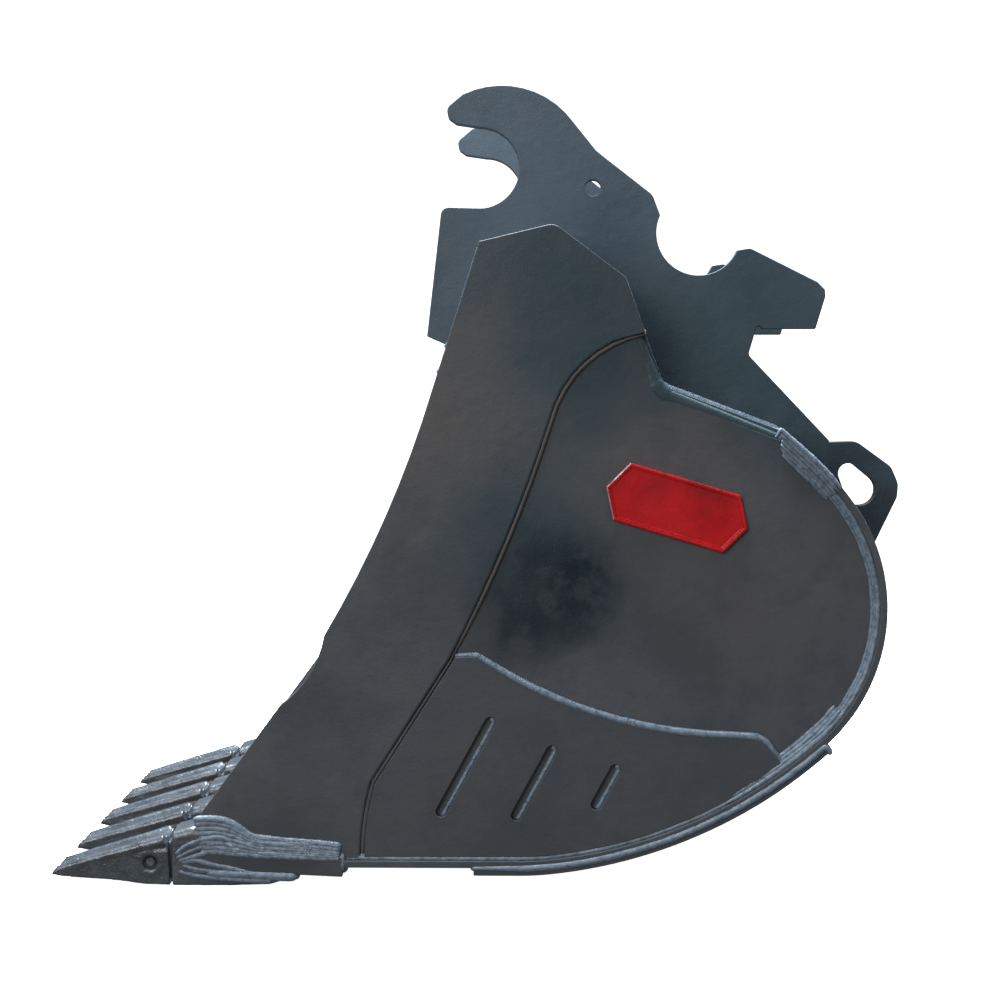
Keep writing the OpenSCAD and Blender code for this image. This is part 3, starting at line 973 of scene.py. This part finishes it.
class CastSkin(NodeShop):
    """Rough cast surface from a Geometry Nodes tree that pushes a dense mesh by noise."""

    title = "cast_skin"
    numbers = ("Coarse Scale", "Coarse Depth", "Fine Scale", "Fine Depth", "Seed")

    def draw(self, tree: Tree, given: bpy.types.NodeOutputs) -> None:
        """Draws the tree: coarse and fine noise along the normals, then the paint.

        Args:
            tree: the tree that is being drawn.
            given: the group's input sockets by name.
        """
        coarse, fine = (
            tree.grain(given["Seed"], given[f"{kind} Scale"], given[f"{kind} Depth"], 2.0)
            for kind in ("Coarse", "Fine")
        )
        tree.end_with(given["Geometry"], tree.math("ADD", coarse, fine), given["Material"])

    def apply(self, made: bpy.types.Object, seed: float, coarse: float, fine: float) -> bpy.types.Object:
        """Roughens a dense mesh and paints it.

        Args:
            made: the object to roughen.
            seed: picks the pattern.
            coarse: depth of the slow lumps.
            fine: depth of the fine grain.

        Returns:
            The same object, with its mesh replaced.
        """
        return self.work_on(made, {
            "Coarse Scale": 38.0, "Coarse Depth": coarse, "Fine Scale": 190.0, "Fine Depth": fine,
            "Seed": seed, "Material": CAST_PAINT.material(),
        })


@dataclass
class Teeth:
    """Weld-on adapters, cast tips and their pins, five across the lip."""

    skin: CastSkin
    voxel: float = 0.002
    shoulder_x: float = -0.520
    half_width: float = 0.043
    strap_half: float = 0.045
    pin_at: Point = (-0.558, -1.192)
    coarse_skin: dict[str, float] = field(default_factory=lambda: {"tooth": 0.0022, "adapter": 0.0024})
    fine_skin: float = 0.0006
    joint_gap: float = 0.0050
    dish_half: float = 0.0275
    dish_depth: float = 0.0080
    boss_radius: float = 0.019
    boss_height: float = 0.0012

    def build(self) -> None:
        """Makes the five stations from left to right."""
        blanks = {"tooth": self.tip_blank(), "adapter": self.adapter_blank()}
        for station in range(1, 6):
            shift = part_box(f"tooth_{station}")[0].y + self.half_width
            for kind, blank in blanks.items():
                node = f"{kind}_{station}"
                work = bmesh.new()
                work.from_mesh(blank)
                bmesh.ops.translate(work, verts=work.verts, vec=(0.0, shift, 0.0))
                made = piece_from(work, f"{node}_casting", CAST_PAINT, sharp=180.0)
                self.skin.apply(made, station * 3.7, self.coarse_skin[kind], self.fine_skin)
                self.open_joint(made, kind == "tooth")
                smoothed(made.data)
                placed(made, "bucket", f"{kind}_paint", node)
            self.pin(station)
            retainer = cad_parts[f"pin_retainer_{station}"]
            retainer.data.materials.clear()
            retainer.data.materials.append(SPRING_STEEL.material())

    def open_joint(self, made: bpy.types.Object, tip: bool) -> None:
        """Keeps the narrow gap between a tip's back and its adapter's shoulder open.

        Args:
            made: the tip or the adapter, which is changed.
            tip: whether it is a tip.
        """
        for vertex in made.data.vertices:
            co = vertex.co
            if tip:
                co.x = min(co.x, self.shoulder_x - self.joint_gap)
            elif co.x < self.shoulder_x + 0.0015 and (co.z > -1.150 or co.z < -1.2245):
                co.x = self.shoulder_x + 0.0010

    def remeshed(self, work: bmesh.types.BMesh, name: str, smooth: int) -> bpy.types.Mesh:
        """Turns a rough closed solid into an even, softly rounded mesh.

        Args:
            work: the solid, which is freed.
            name: a name for the working object.
            smooth: rounds of smoothing.

        Returns:
            The new mesh.
        """
        made = piece_from(work, name)
        remesh = made.modifiers.new("even", "REMESH")
        remesh.mode = "VOXEL"
        remesh.voxel_size = self.voxel
        soften = made.modifiers.new("soft", "SMOOTH")
        soften.factor = 0.5
        soften.iterations = smooth
        baked(made)
        mesh = made.data
        bpy.data.objects.remove(made)
        return mesh

    def centred(self, node: str) -> bmesh.types.BMesh:
        """A CAD node's merged mesh, moved so that its middle is at y = 0.

        Args:
            node: the CAD node's name.

        Returns:
            The new mesh, which the caller frees.
        """
        work = merged(node)
        low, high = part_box(node)
        bmesh.ops.translate(work, verts=work.verts, vec=(0.0, -(low.y + high.y) / 2, 0.0))
        return work

    def tip_blank(self) -> bpy.types.Mesh:
        """The cast tip at mid-width: rails along the top, a dished face and a boss round the pin.

        Returns:
            The tip's smooth mesh, for all five stations.
        """
        work = self.centred("tooth_3")
        for sign in (-1.0, 1.0):
            self.bar(work, (self.shoulder_x - 0.013, sign * 0.0350, -1.1545),
                     (self.shoulder_x - 0.199, sign * 0.0330, -1.2060), 0.0110, 0.0060)
        mesh = self.remeshed(work, "tip_blank", 2)
        back, front = self.shoulder_x - 0.006, self.shoulder_x - 0.206
        for vertex in mesh.vertices:
            co = vertex.co
            t = unit((back - co.x) / (back - front))
            top = -1.149 - 0.054 * t
            if co.z > top - 0.03:
                across = unit((self.dish_half - abs(co.y)) / 0.0090)
                across = across * across * (3.0 - 2.0 * across)
                near_top = unit((co.z - (top - 0.022)) / 0.016)
                along = min(1.0, 0.35 + 4.0 * t) * min(1.0, 0.35 + 2.2 * (1.0 - t))
                co.z -= self.dish_depth * across * near_top * along
            boss = math.exp(-((math.dist((co.x, co.z), self.pin_at) - self.boss_radius) / 0.006) ** 2)
            if abs(co.y) > self.half_width - 0.007 and co.z > -1.225:
                co.y += math.copysign(self.boss_height * boss, co.y)
        return mesh

    def adapter_blank(self) -> bpy.types.Mesh:
        """The cast adapter at mid-width, with full round shoulders on its straps.

        Returns:
            The adapter's smooth mesh, for all five stations.
        """
        mesh = self.remeshed(self.centred("adapter_3"), "adapter_blank", 2)
        foot, height, round_off = -1.168, 0.036, 0.014
        for vertex in mesh.vertices:
            co = vertex.co
            past = abs(co.y) - (self.strap_half - round_off)
            if past > 0.0 and co.z > foot and co.x > self.shoulder_x - 0.001:
                drop = round_off - math.sqrt(max(0.0, round_off ** 2 - min(past, round_off) ** 2))
                co.z = foot + (co.z - foot) * (1.0 - drop / height)
        return mesh

    @staticmethod
    def bar(work: bmesh.types.BMesh, start: tuple[float, float, float], end: tuple[float, float, float],
            r_start: float, r_end: float) -> None:
        """Adds a round bar that tapers from one end to the other.

        Args:
            work: the mesh to add to.
            start: the middle of one end.
            end: the middle of the other end.
            r_start: the radius at the start.
            r_end: the radius at the end.
        """
        a, b = Vector(start), Vector(end)
        way = (b - a).normalized()
        side = way.cross(Y_AXIS).normalized()
        up = side.cross(way)
        sizes = ((a, r_start), (a.lerp(b, 0.5), (r_start * 1.1 + r_end) / 2), (b, r_end))
        rings = [ring(work, centre, side, up, radius, 16) for centre, radius in sizes]
        faces = [work.faces.new(rings[0]), work.faces.new(rings[-1][::-1])]
        bmesh.ops.recalc_face_normals(work, faces=faces + join_rings(work, rings))

    def pin(self, station: int) -> bpy.types.Object:
        """One tooth pin with chamfered ends and a punch mark, on its own sliding body.

        Args:
            station: which tooth it belongs to, 1 at the left.

        Returns:
            The piece.
        """
        node = f"tooth_pin_{station}"
        low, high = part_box(node)
        centre, radius = (low + high) / 2, (high.z - low.z) / 2
        half = (high.y - low.y) / 2
        shape = ((0.0, -half + 0.0012), (0.0022, -half + 0.0004), (0.0034, -half), (radius - 0.0016, -half),
                 (radius, -half + 0.0016), (radius, half - 0.0016), (radius - 0.0016, half), (0.0, half))
        work = bmesh.new()
        join_rings(work, [ring(work, centre + y * Y_AXIS, X_AXIS, Z_AXIS, r, 40) for r, y in shape])
        bmesh.ops.recalc_face_normals(work, faces=work.faces)
        made = piece_from(work, f"{node}_steel", PIN_PAINT, sharp=30.0)
        return placed(made, f"pin_{station}", "pin_steel", node)


# ---------------------------------------------------------------- weld layout


WRAPPER_FRONT: Point = (-0.228, -1.181)
WRAPPER_END: Point = (0.515, -0.472)
HEEL_SIDE: Point = (0.55, -0.95)
SIDE_MIDDLE: Point = (0.15, -0.75)


@dataclass
class SideWelds:
    """Every weld that shows on one side of the bucket, and the ones just inside it."""

    shop: WeldShop
    side: Side
    face_y: float = 0.430
    lap_y: float = 0.440
    end_y: float = 0.445
    lip_passes: int = 8

    def build(self) -> None:
        """Lays the welds of this side."""
        self.body = outlines(f"side_plate_{self.side.word}", self.side.value * self.face_y)[0]
        self.rim()
        self.wear_plate()
        self.lip()
        self.back()
        self.corner()
        self.inside()

    def lay(self, name: str, runs: list[Run], **settings: object) -> bpy.types.Object:
        """Lays passes under a name that carries this side."""
        return self.shop.lay(f"{name}_{self.side.word}", runs, **settings)

    def run(self, path: list[Point], y: float, radius: float, **settings: object) -> Run:
        """A pass at a distance out from mid-width, which faces outwards."""
        facing = Vector((0.0, float(self.side.value), 0.0))
        return Run(at_y(path, self.side.value * y), radius, facing, **settings)

    def inward(self, path: list[Point], by: float) -> list[Point]:
        """A path moved towards the middle of the side plate, or away from it when by is negative."""
        sign = -1.0 if by >= 0.0 else 1.0
        return beside(path, by, lambda p: sign * math.dist(p, SIDE_MIDDLE))

    def passes(self, name: str, path: list[Point], rows: tuple[tuple[float, float, float], ...], seed: float,
               waver: float, **settings: object) -> bpy.types.Object:
        """Lays passes side by side along a path.

        Args:
            name: the piece's name, without the side.
            path: the path in the side view.
            rows: how far inward each pass lies, how far out from the side's face, and its radius.
            seed: picks the pattern.
            waver: how much the width of a pass varies.
            settings: passed on to the weld shop.

        Returns:
            The piece.
        """
        runs = [
            self.run(self.inward(path, d), self.face_y + y, r, seed=seed + i, waver=waver)
            for i, (d, y, r) in enumerate(rows)
        ]
        return self.lay(name, runs, **settings)

    def rim(self) -> None:
        """The long weld between the wrapper and the side, heavier behind the wear plate."""
        path = stretch(self.body, WRAPPER_FRONT, WRAPPER_END, HEEL_SIDE)
        rows = ((0.0030, 0.0062, 0.0044), (0.0075, 0.0036, 0.0042), (0.0118, 0.0012, 0.0036))
        self.passes("rim_weld", path, rows, 1.0, 0.35, flatness=0.8, rough=0.0020, grain=190.0)
        heavy = [p for p in path if 0.42 < p[0] < 0.635 and p[1] < -0.93]
        rows = ((0.0035, 0.0092, 0.0046), (0.0095, 0.0066, 0.0046), (0.0150, 0.0036, 0.0044),
                (0.0205, 0.0010, 0.0040))
        self.passes("heel_weld", heavy, rows, 4.0, 0.4, flatness=0.85, rough=0.0024, grain=190.0)

    def wear_plate(self) -> None:
        """The bead along the wear plate's top, the filled groove beside it and the slot welds."""
        node = f"side_wear_plate_{self.side.word}"
        loops = outlines(node, self.side.value * self.lap_y)
        top = stretch(loops[0], (-0.037, -0.836), (0.532, -1.030), (0.30, -0.95))
        top = beside(top, 0.002, lambda p: p[1])
        self.lay("wear_top_weld", [self.run(top, self.face_y + 0.0045, 0.0062, seed=6.0, waver=0.1)],
                 flatness=0.95, ripple=0.0009, rough=0.0012, pitch=0.006)
        lap = outlines(f"side_edge_plate_{self.side.word}", self.side.value * self.lap_y)[0]
        seam = stretch(lap, (0.270, -0.295), (-0.046, -0.841), (0.123, -0.437))
        seam = beside(seam, 0.0025, lambda p: p[0])
        # The seam bead takes the lighter seam paint as a painted highlight.
        self.lay("edge_seam", [self.run(seam, self.face_y + 0.0016, 0.0040, seed=9.0, waver=0.05)],
                 flatness=1.2, ripple=0.0002, rough=0.0006, finish=SEAM_HIGHLIGHT_PAINT, slot="body_paint")
        groove = stretch(lap, (-0.046, -0.841), (-0.199, -1.181), (-0.13, -0.98))
        groove = beside(groove, 0.0035, lambda p: p[0])
        self.lay("groove_weld", [self.run(groove, self.face_y + 0.003, 0.0047, seed=7.0, waver=0.06)],
                 flatness=0.9, ripple=0.0003, rough=0.0008, finish=BODY_PAINT, slot="body_paint")
        runs = []
        for i, loop in enumerate(loops[1:]):
            high, low = max(loop, key=lambda p: p[1]), min(loop, key=lambda p: p[1])
            right = stretch(loop, high, low, (max(p[0] for p in loop), (high[1] + low[1]) / 2))
            centre = ((high[0] + low[0]) / 2, (high[1] + low[1]) / 2)
            right = beside(right, 0.003, lambda p: -math.dist(p, centre))
            runs.append(self.run(right, self.face_y + 0.0035, 0.0040, seed=8.0 + i, waver=0.15))
        self.lay("slot_welds", runs, flatness=1.0, ripple=0.0004, rough=0.0018)

    def lip(self) -> None:
        """The heavy passes that build the lip's end up to the side, and fan over the adapter."""
        toe = eased([(-0.483, -1.118), (-0.449, -1.117), (-0.423, -1.122), (-0.403, -1.134), (-0.380, -1.147),
                     (-0.330, -1.153), (-0.290, -1.156), (-0.232, -1.163)])
        foot = eased([(-0.470, -1.172), (-0.440, -1.173), (-0.412, -1.176), (-0.396, -1.177), (-0.370, -1.179),
                      (-0.330, -1.180), (-0.290, -1.182), (-0.236, -1.184)])
        pairs = [(a, foot[min(i, len(foot) - 1)]) for i, a in enumerate(toe)]
        runs = []
        for k in range(self.lip_passes):
            t = k / (self.lip_passes - 1)
            path = [(a[0] + (b[0] - a[0]) * t, a[1] + (b[1] - a[1]) * t) for a, b in pairs]
            y = self.lap_y + 0.0035 * t
            runs.append(self.run(path, y, 0.0058 - 0.0008 * t, seed=20.0 + k, waver=0.30))
        self.lay("lip_end_weld", runs, flatness=0.75, rough=0.0026, grain=170.0)
        fans = (
            [(-0.513, -1.176), (-0.495, -1.162), (-0.466, -1.151), (-0.440, -1.147), (-0.424, -1.152)],
            [(-0.512, -1.183), (-0.488, -1.171), (-0.460, -1.161), (-0.436, -1.158), (-0.412, -1.164)],
            [(-0.508, -1.188), (-0.480, -1.180), (-0.455, -1.172), (-0.432, -1.169), (-0.405, -1.173)],
            [(-0.503, -1.191), (-0.486, -1.188), (-0.469, -1.189), (-0.449, -1.195), (-0.421, -1.200),
             (-0.390, -1.208), (-0.358, -1.213)],
            [(-0.501, -1.196), (-0.481, -1.202), (-0.449, -1.206), (-0.410, -1.212), (-0.353, -1.217),
             (-0.318, -1.218)],
            [(-0.508, -1.206), (-0.481, -1.213), (-0.438, -1.218), (-0.393, -1.221), (-0.353, -1.223)],
        )
        runs = [
            self.run(eased(list(fan)), self.end_y - 0.0005, 0.0036, seed=30.0 + i, waver=0.4)
            for i, fan in enumerate(fans)
        ]
        self.lay("adapter_side_weld", runs, flatness=0.7, rough=0.0022, grain=170.0)
        step = [(-0.229, -1.176), (-0.230, -1.190), (-0.229, -1.204)]
        self.lay("lip_joint_weld", [self.run(eased(step), self.end_y - 0.003, 0.0038, seed=36.0)], flatness=0.7)

    def back(self) -> None:
        """Six passes over the ends of the wrapper and the side where they meet the top plate."""
        path = stretch(self.body, (0.505, -0.470), (0.600, -0.560), (0.55, -0.50))
        rows = tuple((d, y, 0.0042) for d, y in (
            (-0.0095, 0.0155), (-0.0035, 0.0145), (0.0025, 0.0115), (0.0085, 0.0075), (0.0140, 0.0035),
            (0.0190, 0.0010),
        ))
        self.passes("back_weld", path, rows, 40.0, 0.35, flatness=0.85, rough=0.0022, grain=170.0)

    def corner(self) -> None:
        """The smooth corner weld along the end of the top plate."""
        node = "top_plate"
        low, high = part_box(node)
        loop = outlines(node, low.y if self.side is Side.LEFT else high.y)[0]
        path = stretch(loop, (0.286, -0.292), (0.512, -0.459), (0.318, -0.382))
        look = {"ripple": 0.0002, "rough": 0.0008, "finish": EAR_PAINT, "slot": "ear_paint"}
        self.lay("corner_weld", [self.run(self.inward(path, 0.0112), 0.4185, 0.0108, seed=50.0, waver=0.03)],
                 flatness=0.9, **look)
        self.lay("corner_cap", [self.run(self.inward(path, 0.0145), 0.4268, 0.0150, seed=51.0, waver=0.03)],
                 flatness=0.30, **look)

    def inside(self) -> None:
        """The fillet welds inside the mouth, along the wrapper, the box and the lip."""
        inner_y = self.face_y - 0.015
        bead_y = self.side.value * (inner_y - 0.002)
        path = stretch(self.body, WRAPPER_FRONT, WRAPPER_END, HEEL_SIDE)
        runs = [Run(at_y(self.inward(path, 0.002), bead_y), 0.0070, seed=60.0)]
        box = outlines("box_floor_plate", self.side.value * inner_y)[0]
        low = min(p[1] for p in box)
        floor = sorted((p for p in box if p[1] < low + 0.006), key=lambda p: p[0])
        ends = at_y([floor[0], floor[-1]], bead_y)
        runs.append(Run(between(tuple(ends[0]), tuple(ends[1]), 60), 0.0065, seed=61.0))
        self.lay("inside_weld", runs, step=0.004, pitch=0.008, ripple=0.0008)


@dataclass
class CrossWelds:
    """The welds that run across the width or belong to pieces away from the sides."""

    shop: WeldShop
    ear_edges: tuple[float, float] = (0.245, 0.275)

    def build(self) -> None:
        """Lays the ear, strip, lip, eye and adapter welds."""
        self.ears()
        self.strips()
        self.adapters()
        self.crossings()
        self.eye()

    def ears(self) -> None:
        """A fillet on each face of each ear, where it stands on the box and the top plate."""
        for side in Side:
            runs = []
            for y in self.ear_edges:
                loop = outlines(f"ear_plate_{side.word}", side.value * y)[0]
                path = stretch(loop, (-0.055, -0.300), (0.600, -0.555), (0.283, -0.290))
                out = -0.001 if y == self.ear_edges[0] else 0.001
                facing = Vector((0.0, float(side.value), 0.0))
                runs.append(Run(at_y(path, side.value * (y + out)), 0.0080, facing, seed=70.0 + y))
            self.shop.lay(f"ear_weld_{side.word}", runs, flatness=0.9, step=0.0035, pitch=0.007, ripple=0.0009)

    def strips(self) -> None:
        """Stitches along both edges of each wear strip, and across its ends."""
        for number in range(1, 6):
            node = f"wear_strip_{number}"
            low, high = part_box(node)
            loop = outlines(node, low.y)[0]
            start, end = min(loop, key=lambda p: p[0]), max(loop, key=lambda p: p[0] + 0.2 * p[1])
            wrapper_side = stretch(loop, (start[0], start[1] + 0.013), end, (0.40, -1.09))
            runs = []
            for k, y in enumerate((low.y, high.y)):
                facing = Vector((0.0, -1.0 if k == 0 else 1.0, 0.0))
                runs.append(Run(at_y(wrapper_side, y), 0.0052, facing, seed=80.0 + number + k))
            for x, z in (wrapper_side[0], wrapper_side[-1]):
                runs.append(Run(between((x, low.y, z), (x, high.y, z)), 0.0062, X_AXIS, seed=84.0))
            self.shop.lay(f"strip_weld_{number}", runs, step=0.0035, pitch=0.007)

    def adapters(self) -> None:
        """A bead round each adapter strap on top of the lip, and one under it."""
        for number in range(1, 6):
            low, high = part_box(f"adapter_{number}")
            left, right = low.y + 0.002, high.y - 0.002
            runs = []
            for y in (left, right):
                facing = Vector((0.0, 1.0 if y == right else -1.0, 0.0))
                if abs(y) < 0.43:
                    top = eased([(-0.440, -1.174), (-0.40, -1.175), (-0.36, -1.1765), (-0.330, -1.178)], 0.006)
                    runs.append(Run(at_y(top, y), 0.0065, facing, seed=90.0 + number + y))
                under = eased([(-0.46, -1.2095), (-0.40, -1.211), (-0.34, -1.2145), (-0.308, -1.2155)], 0.006)
                runs.append(Run(at_y(under, y), 0.0070, facing, seed=92.0 + number + y))
            for x, z, radius, seed in ((-0.327, -1.177, 0.0085, 94.0), (-0.309, -1.2145, 0.0068, 96.0)):
                rear = between((x, left, z), (x, right, z))
                runs.append(Run(rear, radius, X_AXIS, seed=seed + number))
            self.shop.lay(f"adapter_weld_{number}", runs, flatness=0.8, rough=0.0020)

    def crossings(self) -> None:
        """Seams across the width: lip to wrapper, box floor, top plate and tie plates."""
        seams = (
            ("lip_seam_top", (-0.2275, -1.1845), 0.425, 0.0085),
            ("lip_seam_under", (-0.2285, -1.2030), 0.438, 0.0085),
            ("box_floor_seam_front", (-0.0640, -0.3560), 0.410, 0.0070),
            ("box_floor_seam_back", (0.2940, -0.3560), 0.410, 0.0070),
            ("box_rear_seam", (0.2815, -0.2900), 0.404, 0.0065),
            ("top_seam_outside", (0.5140, -0.4590), 0.418, 0.0060),
            ("front_tie_seam", (-0.0590, -0.2010), 0.242, 0.0060),
        )
        for name, (x, z), half, radius in seams:
            run = Run(between((x, -half, z), (x, half, z), 120), radius, X_AXIS, seed=100.0 + x)
            self.shop.lay(name, [run], step=0.004, pitch=0.008, ripple=0.0008)

    def eye(self) -> None:
        """A fillet on both faces of the lifting eye."""
        low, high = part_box("lifting_eye")
        runs = []
        for y, sign in ((low.y, -1.0), (high.y, 1.0)):
            loop = outlines("lifting_eye", y)[0]
            top = max(loop, key=lambda p: p[1] - 2.0 * p[0])
            bottom = min(loop, key=lambda p: p[1])
            path = stretch(loop, top, bottom, (0.640, -0.600))
            runs.append(Run(at_y(path, y), 0.0085, Vector((0.0, sign, 0.0)), seed=110.0 + sign))
        self.shop.lay("eye_weld", runs, flatness=0.9)


# ---------------------------------------------------------------- studio


@dataclass(frozen=True)
class Studio:
    """Pale floor, soft light and the camera."""

    lens: float = 74.95
    sensor: float = 36.0
    camera: tuple[float, float, float] = (0.09796, -3.940, -0.36152)
    yaw: float = 0.963
    pitch: float = 3.435
    floor_z: float = -1.2312
    floor_radius: float = 6.0
    bend: float = 2.5
    wall: float = 9.0
    aim: tuple[float, float, float] = (0.1, 0.0, -0.65)

    def build(self) -> None:
        """Sets up the whole studio."""
        self.place_camera()
        self.lay_floor()
        self.hang_lights()

    def place_camera(self) -> None:
        """Adds the camera."""
        data = bpy.data.cameras.new("studio_camera")
        data.lens, data.sensor_width = self.lens, self.sensor
        data.clip_end = 60.0
        made = linked("studio_camera", data)
        made.location = self.camera
        made.rotation_euler = (math.radians(90.0 - self.pitch), 0.0, math.radians(self.yaw))
        bpy.context.scene.camera = made

    def lay_floor(self) -> None:
        """Adds a pale round room: floor, wide bend and wall all the way round."""
        turns = (math.radians(7.5 * k) for k in range(13))
        profile = [(self.floor_radius + self.bend * math.sin(a), self.bend * (1.0 - math.cos(a))) for a in turns]
        profile.append((self.floor_radius + self.bend, self.wall))
        work = bmesh.new()
        rows = [ring(work, (self.floor_z + z) * Z_AXIS, X_AXIS, Y_AXIS, r, 64) for r, z in profile]
        work.faces.new(rows[0])
        join_rings(work, rows)
        made = piece_from(work, "studio_floor", sharp=180.0)
        material = bpy.data.materials.new("studio_paper")
        material.use_nodes = True
        shader = material.node_tree.nodes["Principled BSDF"]
        shader.inputs["Base Color"].default_value = rgba((0.90, 0.90, 0.90))
        shader.inputs["Roughness"].default_value = 0.9
        shader.inputs["Emission Color"].default_value = rgba((1.0, 1.0, 1.0))
        shader.inputs["Emission Strength"].default_value = 1.0
        made.data.materials.append(material)
        made.visible_diffuse = made.visible_glossy = False

    def hang_lights(self) -> None:
        """Adds the pale surroundings, a large top light and a weak front fill."""
        world = bpy.data.worlds.new("studio_air")
        world.use_nodes = True
        background = world.node_tree.nodes["Background"]
        background.inputs["Color"].default_value = (0.93, 0.97, 1.0, 1.0)
        background.inputs["Strength"].default_value = 0.20
        bpy.context.scene.world = world
        for name, place, size, watts, tint in (
            ("top_light", (-0.2, 0.30, 3.0), 2.6, 900.0, (0.86, 0.94, 1.0)),
            ("front_fill", (-2.6, -5.5, 1.6), 3.0, 190.0, (1.0, 0.98, 0.95)),
            ("back_light", (3.2, 3.0, 1.4), 2.5, 60.0, (0.95, 0.98, 1.0)),
        ):
            data = bpy.data.lights.new(name, "AREA")
            data.shape, data.size = "SQUARE", size
            data.energy, data.color = watts, tint
            made = linked(name, data)
            made.location = place
            way = Vector(self.aim) - Vector(place)
            made.rotation_euler = way.to_track_quat("-Z", "Y").to_euler()
        bpy.context.scene.view_settings.view_transform = "Standard"


def main() -> None:
    """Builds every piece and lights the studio."""
    logging.basicConfig(level=logging.INFO, format="%(name)s: %(message)s")
    Studio().build()
    PlateWork().build()
    Badge().build()
    Teeth(CastSkin()).build()
    shop = WeldShop()
    for side in Side:
        SideWelds(shop, side).build()
    CrossWelds(shop).build()


if __name__ == "__main__":
    main()
